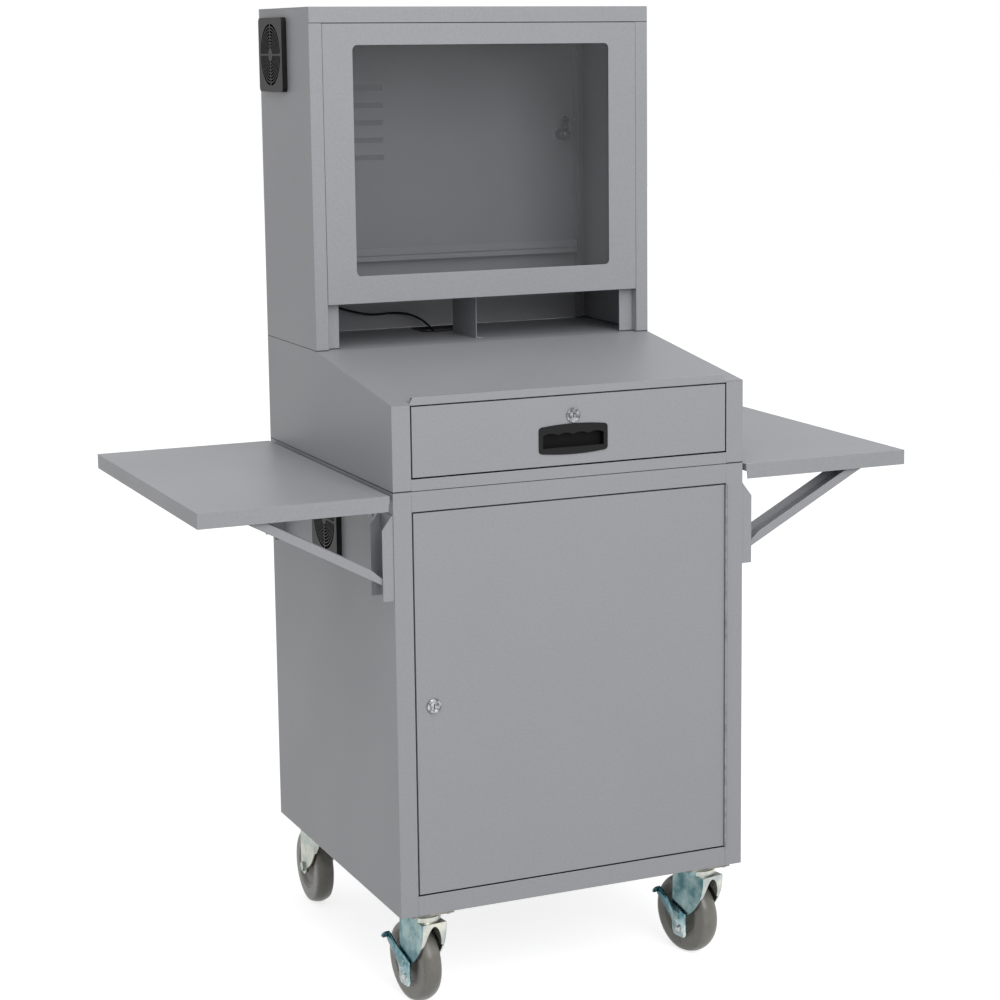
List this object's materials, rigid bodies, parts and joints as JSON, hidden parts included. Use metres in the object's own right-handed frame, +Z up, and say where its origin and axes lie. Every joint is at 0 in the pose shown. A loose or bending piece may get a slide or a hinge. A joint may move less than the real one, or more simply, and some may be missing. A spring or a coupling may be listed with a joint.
{
  "type": "mobile computer cabinet",
  "caption": "Mobile steel computer cabinet with a windowed screen housing, keyboard drawer, lower cupboard, folding side shelves and swivel casters.",
  "frame": {"origin": "on the floor under the middle of the outline, wheels standing on Z = 0", "axes": "+Z up, the doors and drawer face -Y, +X to the right of someone facing the front"},
  "size_m": [1.254, 0.6666, 1.62],
  "materials": {
    "grey_coat": "satin powder coat",
    "zinc": "zinc plated",
    "chrome": "bright",
    "black_plastic": "matte",
    "cord_rubber": "matte",
    "wheel_rubber": "matte",
    "acrylic": "clear"
  },
  "bodies": {
    "cabinet": {"back_panel": "grey_coat", "base_floor": "grey_coat", "base_left_side": "grey_coat", "base_right_side": "grey_coat", "base_top_rail": "grey_coat", "cable_grommet": "black_plastic", "caster_plates": "zinc", "cubby_divider": "grey_coat", "desk_left_side": "grey_coat", "desk_pan": "grey_coat", "desk_right_side": "grey_coat", "desk_top": "grey_coat", "fan_frames": "black_plastic", "fan_guards": "black_plastic", "fan_lead": "cord_rubber", "fixed_hinge_leaves": "zinc", "housing_cap": "grey_coat", "housing_left_side": "grey_coat", "housing_rear_strip": "grey_coat", "housing_right_side": "grey_coat", "inner_shelf": "grey_coat", "left_brackets": "grey_coat", "monitor_shelf": "grey_coat", "right_brackets": "grey_coat", "shelf_hinge_butts": "grey_coat", "slide_outer": "zinc", "window_glazing": "acrylic", "window_panel": "grey_coat"},
    "front_door": {"front_door": "grey_coat", "front_door_leaf": "zinc", "front_lock_barrel": "chrome"},
    "front_lock": {"front_lock_plug": "chrome"},
    "rear_door": {"rear_door": "grey_coat", "rear_door_leaf": "zinc", "rear_lock_barrel": "chrome"},
    "rear_lock": {"rear_lock_plug": "chrome"},
    "drawer": {"drawer_front": "grey_coat", "drawer_box": "grey_coat", "drawer_pull": "black_plastic", "drawer_lock_barrel": "chrome", "slide_inner": "zinc"},
    "drawer_lock": {"drawer_lock_plug": "chrome"},
    "slide_middle": {"slide_middle": "zinc"},
    "upper_fan_rotor": {"upper_fan_rotor": "black_plastic"},
    "lower_fan_rotor": {"lower_fan_rotor": "black_plastic"},
    "right_shelf": {"right_shelf": "grey_coat"},
    "left_shelf": {"left_shelf": "grey_coat"},
    "right_braces": {"right_braces": "grey_coat"},
    "left_braces": {"left_braces": "grey_coat"},
    "caster_fork_front_left": {"caster_fork_front_left": "zinc"},
    "caster_wheel_front_left": {"caster_wheel_front_left": "wheel_rubber"},
    "caster_fork_front_right": {"caster_fork_front_right": "zinc"},
    "caster_wheel_front_right": {"caster_wheel_front_right": "wheel_rubber"},
    "caster_fork_rear_left": {"caster_fork_rear_left": "zinc"},
    "caster_wheel_rear_left": {"caster_wheel_rear_left": "wheel_rubber"},
    "caster_fork_rear_right": {"caster_fork_rear_right": "zinc"},
    "caster_wheel_rear_right": {"caster_wheel_rear_right": "wheel_rubber"},
    "brake_lever_front_left": {"brake_lever_front_left": "zinc"},
    "brake_lever_front_right": {"brake_lever_front_right": "zinc"}
  },
  "joints": [
    {"name": "front_door_hinge", "type": "hinge", "parent": "cabinet", "child": "front_door", "pos_m": [0.27875, -0.33115, 0.51675], "axis": [0, 0, 1], "range_deg": [0, 120]},
    {"name": "front_lock_turn", "type": "hinge", "parent": "front_door", "child": "front_lock", "pos_m": [-0.2485, -0.32865, 0.517], "axis": [0, -1, 0], "range_deg": [0, 90]},
    {"name": "rear_door_hinge", "type": "hinge", "parent": "cabinet", "child": "rear_door", "pos_m": [-0.28975, 0.28585, 1.39075], "axis": [0, 0, 1], "range_deg": [0, 120]},
    {"name": "rear_lock_turn", "type": "hinge", "parent": "rear_door", "child": "rear_lock", "pos_m": [0.262, 0.28335, 1.392], "axis": [0, 1, 0], "range_deg": [0, 90]},
    {"name": "drawer_slide", "type": "slide", "parent": "cabinet", "child": "drawer", "axis": [0, -1, 0], "range_m": [0, 0.4]},
    {"name": "slide_middle_slide", "type": "slide", "parent": "cabinet", "child": "slide_middle", "axis": [0, -1, 0], "range_m": [0, 0.2]},
    {"name": "drawer_lock_turn", "type": "hinge", "parent": "drawer", "child": "drawer_lock", "pos_m": [0, -0.32865, 0.968], "axis": [0, -1, 0], "range_deg": [0, 90]},
    {"name": "upper_fan_spin", "type": "hinge", "parent": "cabinet", "child": "upper_fan_rotor", "pos_m": [-0.297, 0.19835, 1.542], "axis": [1, 0, 0], "continuous": true},
    {"name": "lower_fan_spin", "type": "hinge", "parent": "cabinet", "child": "lower_fan_rotor", "pos_m": [-0.297, -0.02265, 0.775], "axis": [1, 0, 0], "continuous": true},
    {"name": "right_shelf_fold", "type": "hinge", "parent": "cabinet", "child": "right_shelf", "pos_m": [0.315, -0.02265, 0.838], "axis": [0, 1, 0], "range_deg": [0, 86]},
    {"name": "left_shelf_fold", "type": "hinge", "parent": "cabinet", "child": "left_shelf", "pos_m": [-0.315, -0.02265, 0.838], "axis": [0, -1, 0], "range_deg": [0, 86]},
    {"name": "right_brace_fold", "type": "hinge", "parent": "cabinet", "child": "right_braces", "pos_m": [0.3205, -0.02265, 0.723], "axis": [0, 1, 0], "range_deg": [0, 118.3]},
    {"name": "left_brace_fold", "type": "hinge", "parent": "cabinet", "child": "left_braces", "pos_m": [-0.3205, -0.02265, 0.723], "axis": [0, -1, 0], "range_deg": [0, 118.3]},
    {"name": "front_left_swivel", "type": "hinge", "parent": "cabinet", "child": "caster_fork_front_left", "pos_m": [-0.254, -0.28065, 0.16], "axis": [0, 0, 1], "continuous": true},
    {"name": "front_left_roll", "type": "hinge", "parent": "caster_fork_front_left", "child": "caster_wheel_front_left", "pos_m": [-0.25766, -0.25087, 0.068], "axis": [0.9925, 0.1219, 0], "continuous": true},
    {"name": "front_left_brake", "type": "hinge", "parent": "caster_fork_front_left", "child": "brake_lever_front_left", "pos_m": [-0.25766, -0.25087, 0.068], "axis": [-0.9925, -0.1219, 0], "range_deg": [0, 25]},
    {"name": "front_right_swivel", "type": "hinge", "parent": "cabinet", "child": "caster_fork_front_right", "pos_m": [0.254, -0.28065, 0.16], "axis": [0, 0, 1], "continuous": true},
    {"name": "front_right_roll", "type": "hinge", "parent": "caster_fork_front_right", "child": "caster_wheel_front_right", "pos_m": [0.24776, -0.25131, 0.068], "axis": [0.9781, 0.2079, 0], "continuous": true},
    {"name": "front_right_brake", "type": "hinge", "parent": "caster_fork_front_right", "child": "brake_lever_front_right", "pos_m": [0.24776, -0.25131, 0.068], "axis": [-0.9781, -0.2079, 0], "range_deg": [0, 25]},
    {"name": "rear_left_swivel", "type": "hinge", "parent": "cabinet", "child": "caster_fork_rear_left", "pos_m": [-0.254, 0.23535, 0.16], "axis": [0, 0, 1], "continuous": true},
    {"name": "rear_left_roll", "type": "hinge", "parent": "caster_fork_rear_left", "child": "caster_wheel_rear_left", "pos_m": [-0.254, 0.26535, 0.068], "axis": [1, 0, 0], "continuous": true},
    {"name": "rear_right_swivel", "type": "hinge", "parent": "cabinet", "child": "caster_fork_rear_right", "pos_m": [0.254, 0.23535, 0.16], "axis": [0, 0, 1], "continuous": true},
    {"name": "rear_right_roll", "type": "hinge", "parent": "caster_fork_rear_right", "child": "caster_wheel_rear_right", "pos_m": [0.25191, 0.26528, 0.068], "axis": [0.9976, 0.0698, 0], "continuous": true}
  ],
  "couplings": [
    {"joint": "slide_middle_slide", "follows": "drawer_slide", "ratio": 0.5},
    {"joint": "right_brace_fold", "follows": "right_shelf_fold", "ratio": 1.3755},
    {"joint": "left_brace_fold", "follows": "left_shelf_fold", "ratio": 1.3755}
  ]
}
